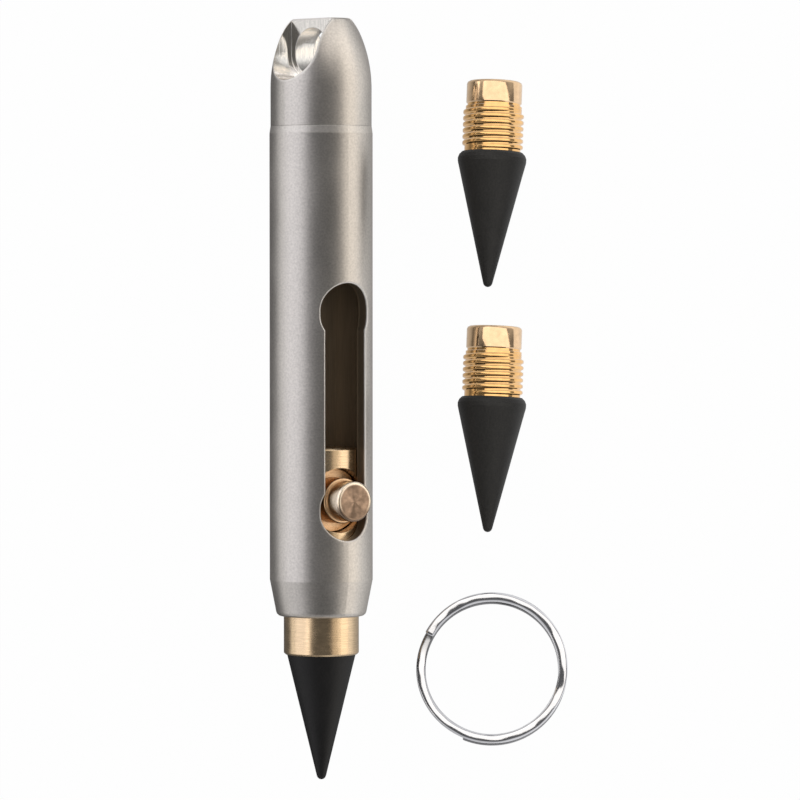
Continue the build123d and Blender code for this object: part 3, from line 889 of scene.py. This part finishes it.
class PencilStage(bpy.types.Operator):
    """Lays the table, and sets the soft boxes, the room's light and the camera"""

    bl_idname = "pencil.stage"
    bl_label = "Table, light and camera"

    def execute(self, context):
        studio = context.scene.pencil_studio
        table_width = 4
        bpy.ops.mesh.primitive_plane_add(size=table_width)
        table = name_piece("table")
        table.data.materials.append(self.white_table())
        self.light_room(context)
        # The photograph joins pictures taken under different lamps, so some boxes light only some pieces
        shown = [piece for piece in context.scene.objects if piece.type == "MESH" and piece is not table]
        loose = [piece for piece in shown if piece.name.startswith(("spare", "key_ring"))]
        pencil = [piece for piece in shown if piece not in loose]
        brass = [piece for piece in pencil if piece.name.startswith(("slider", "lock_button"))]
        button = [piece for piece in brass if piece.name.startswith("lock_button")]
        tail = [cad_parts["tail_cap"]]
        # Each box's name, place and size in metres, radiance, tint and what it lights
        boxes = (
            ("left_box", (-0.32, 0.1, 0.195), (0.6, 0.39), studio.left_light, "#F8F8FF", pencil + [table]),
            ("right_box", (0.343, 0.06, 0.125), (0.6, 0.25), studio.right_light, "#FFF6EA", pencil + [table]),
            ("high_box", (0.268, 0, 0.297), (0.6, 0.127), studio.high_light, "#FFF3E2", brass),
            ("low_left_box", (-0.26, 0, 0.31), (0.6, 0.1), studio.high_light, "#FFF8EE", brass),
            ("button_box", (-0.19, 0.05, 0.44), (0.6, 0.4), studio.button_light, "#FFF8EE", button),
            ("tail_box", (0.13, 0.34, 0.3), (0.3, 0.3), studio.tail_light, "#FFF8F0", brass + tail),
            ("top_box", (0.1, 0.19, 0.5), (1.75, 0.67), studio.top_light, "#FFFBF4", loose),
            ("low_box", (-0.4, 0, 0.085), (0.6, 0.11), studio.left_light, "#FFFBF4", loose),
        )
        for box in boxes:
            add_soft_box(*box)
        fill = add_soft_box("fill_box", (0, 0, 0.6), (0.9, 0.9), studio.fill_light, "#FFFFFF", shown)
        # The fill reaches what scatters light and leaves the mirrors' dark middle alone
        fill.visible_glossy = False
        bpy.ops.object.camera_add(location=studio.camera_place)
        camera = context.object
        camera.name = camera.data.name = "camera"
        # The page's up is +Y
        back = (Vector(studio.camera_place) - Vector(studio.camera_aim)).normalized()
        right = Vector((0, 1, 0)).cross(back).normalized()
        camera.rotation_euler = Matrix((right, back.cross(right), back)).transposed().to_euler()
        camera.data.lens = studio.focal_length
        camera.data.clip_start = 0.01
        context.scene.camera = camera
        context.scene.view_settings.view_transform = "Standard"
        return {"FINISHED"}

    def white_table(self):
        """White paper, full white to the camera."""
        base = bpy.context.scene.pencil_colours.table
        studio = bpy.context.scene.pencil_studio
        material = bpy.data.materials.new("White paper")
        material.use_nodes = True
        tree = material.node_tree
        tree.nodes.clear()
        seen = seen_plainly(tree)
        place = add_node(tree, "TexCoord")["Object"]
        across = add_node(tree, "SeparateXYZ", (place,))["X"]
        offset = add_node(tree, "Math", (across, axis_point.x), operation="SUBTRACT")[0]
        # Painted shade: mirrors see the table darker close to the pencil, and further out on its left
        right = add_node(tree, "MapRange", (offset, -2 * MM, 26 * MM, 0, 1))[0]
        left = add_node(tree, "MapRange", (offset, -18 * MM, -38 * MM, 0, 1))[0]
        clear = add_node(tree, "Math", (left, right), operation="ADD")[0]
        lit = add_node(tree, "MapRange", (clear, 0, 1, studio.shade, studio.table_light))[0]
        brightness = add_node(tree, "MapRange", (seen, 0, 1, lit, 1))[0]
        # Cameras and mirrors see its own glow, with a trace of shadow, and the rest is lit as paper is. The
        # glow that mirrors see carries the painted shade
        glossy = add_node(tree, "LightPath")["Is Glossy Ray"]
        glowing = add_node(tree, "Math", (seen, glossy), operation="MAXIMUM")[0]
        glow_share = 0.985
        glowing = add_node(tree, "Math", (glowing, glow_share), operation="MULTIPLY")[0]
        albedo = 0.8
        paper = add_node(tree, "BsdfDiffuse", {"Color": (*[part * albedo for part in base], 1)})[0]
        glow = add_node(tree, "Emission", {"Color": (*base, 1), "Strength": brightness})[0]
        surface = add_node(tree, "MixShader", (glowing, paper, glow))[0]
        add_node(tree, "OutputMaterial", {"Surface": surface})
        return material

    def light_room(self, context):
        """A room with pale end walls and a dark ceiling, which the camera sees as white."""
        studio = context.scene.pencil_studio
        world = context.scene.world or bpy.data.worlds.new("room")
        context.scene.world = world
        world.use_nodes = True
        tree = world.node_tree
        tree.nodes.clear()
        direction = add_node(tree, "TexCoord")["Generated"]
        parts = add_node(tree, "SeparateXYZ", (direction,))
        # The walls beyond the tail and the tip are bright, and those beside the soft boxes are dim
        endwards = add_node(tree, "Math", (parts["Y"],), operation="ABSOLUTE")[0]
        wall = add_node(tree, "MapRange", (endwards, 0.15, 0.6, studio.side_wall_light, studio.wall_light))[0]
        room = add_node(tree, "MapRange", (parts["Z"], 0.25, 0.75, wall, studio.ceiling_light))[0]
        strength = add_node(tree, "MapRange", (seen_plainly(tree), 0, 1, room, 1))[0]
        light = add_node(tree, "Background", {"Color": (1, 1, 1, 1), "Strength": strength})[0]
        add_node(tree, "OutputWorld", {"Surface": light})


class PencilPanel(bpy.types.Panel):
    """Lists the sizes, colours, lights and operators of the pencil"""

    bl_idname = "VIEW3D_PT_pencil"
    bl_label = "Inkless metal pencil"
    bl_space_type = "VIEW_3D"
    bl_region_type = "UI"
    bl_category = "Pencil"

    def draw(self, context):
        for group in (context.scene.pencil_sizes, context.scene.pencil_colours, context.scene.pencil_studio):
            box = self.layout.box()
            for name in group.bl_rna.properties.keys():
                if name not in ("rna_type", "name"):
                    box.prop(group, name)
        for operator in MAKERS:
            self.layout.operator(operator.bl_idname)


GROUPS = {"pencil_sizes": PencilSizes, "pencil_colours": PencilColours, "pencil_studio": PencilStudio}
MAKERS = (
    PencilBarrel,
    PencilBrass,
    PencilButton,
    PencilSpring,
    PencilCones,
    PencilStubs,
    PencilRing,
    PencilStage,
)


def register():
    for kind in (*GROUPS.values(), *MAKERS, PencilPanel):
        bpy.utils.register_class(kind)
    for name, group in GROUPS.items():
        setattr(bpy.types.Scene, name, bpy.props.PointerProperty(type=group))


def unregister():
    for name in GROUPS:
        delattr(bpy.types.Scene, name)
    for kind in reversed((*GROUPS.values(), *MAKERS, PencilPanel)):
        bpy.utils.unregister_class(kind)


def main():
    register()
    for operator in MAKERS:
        group, name = operator.bl_idname.split(".")
        getattr(getattr(bpy.ops, group), name)()


if __name__ == "__main__":
    main()
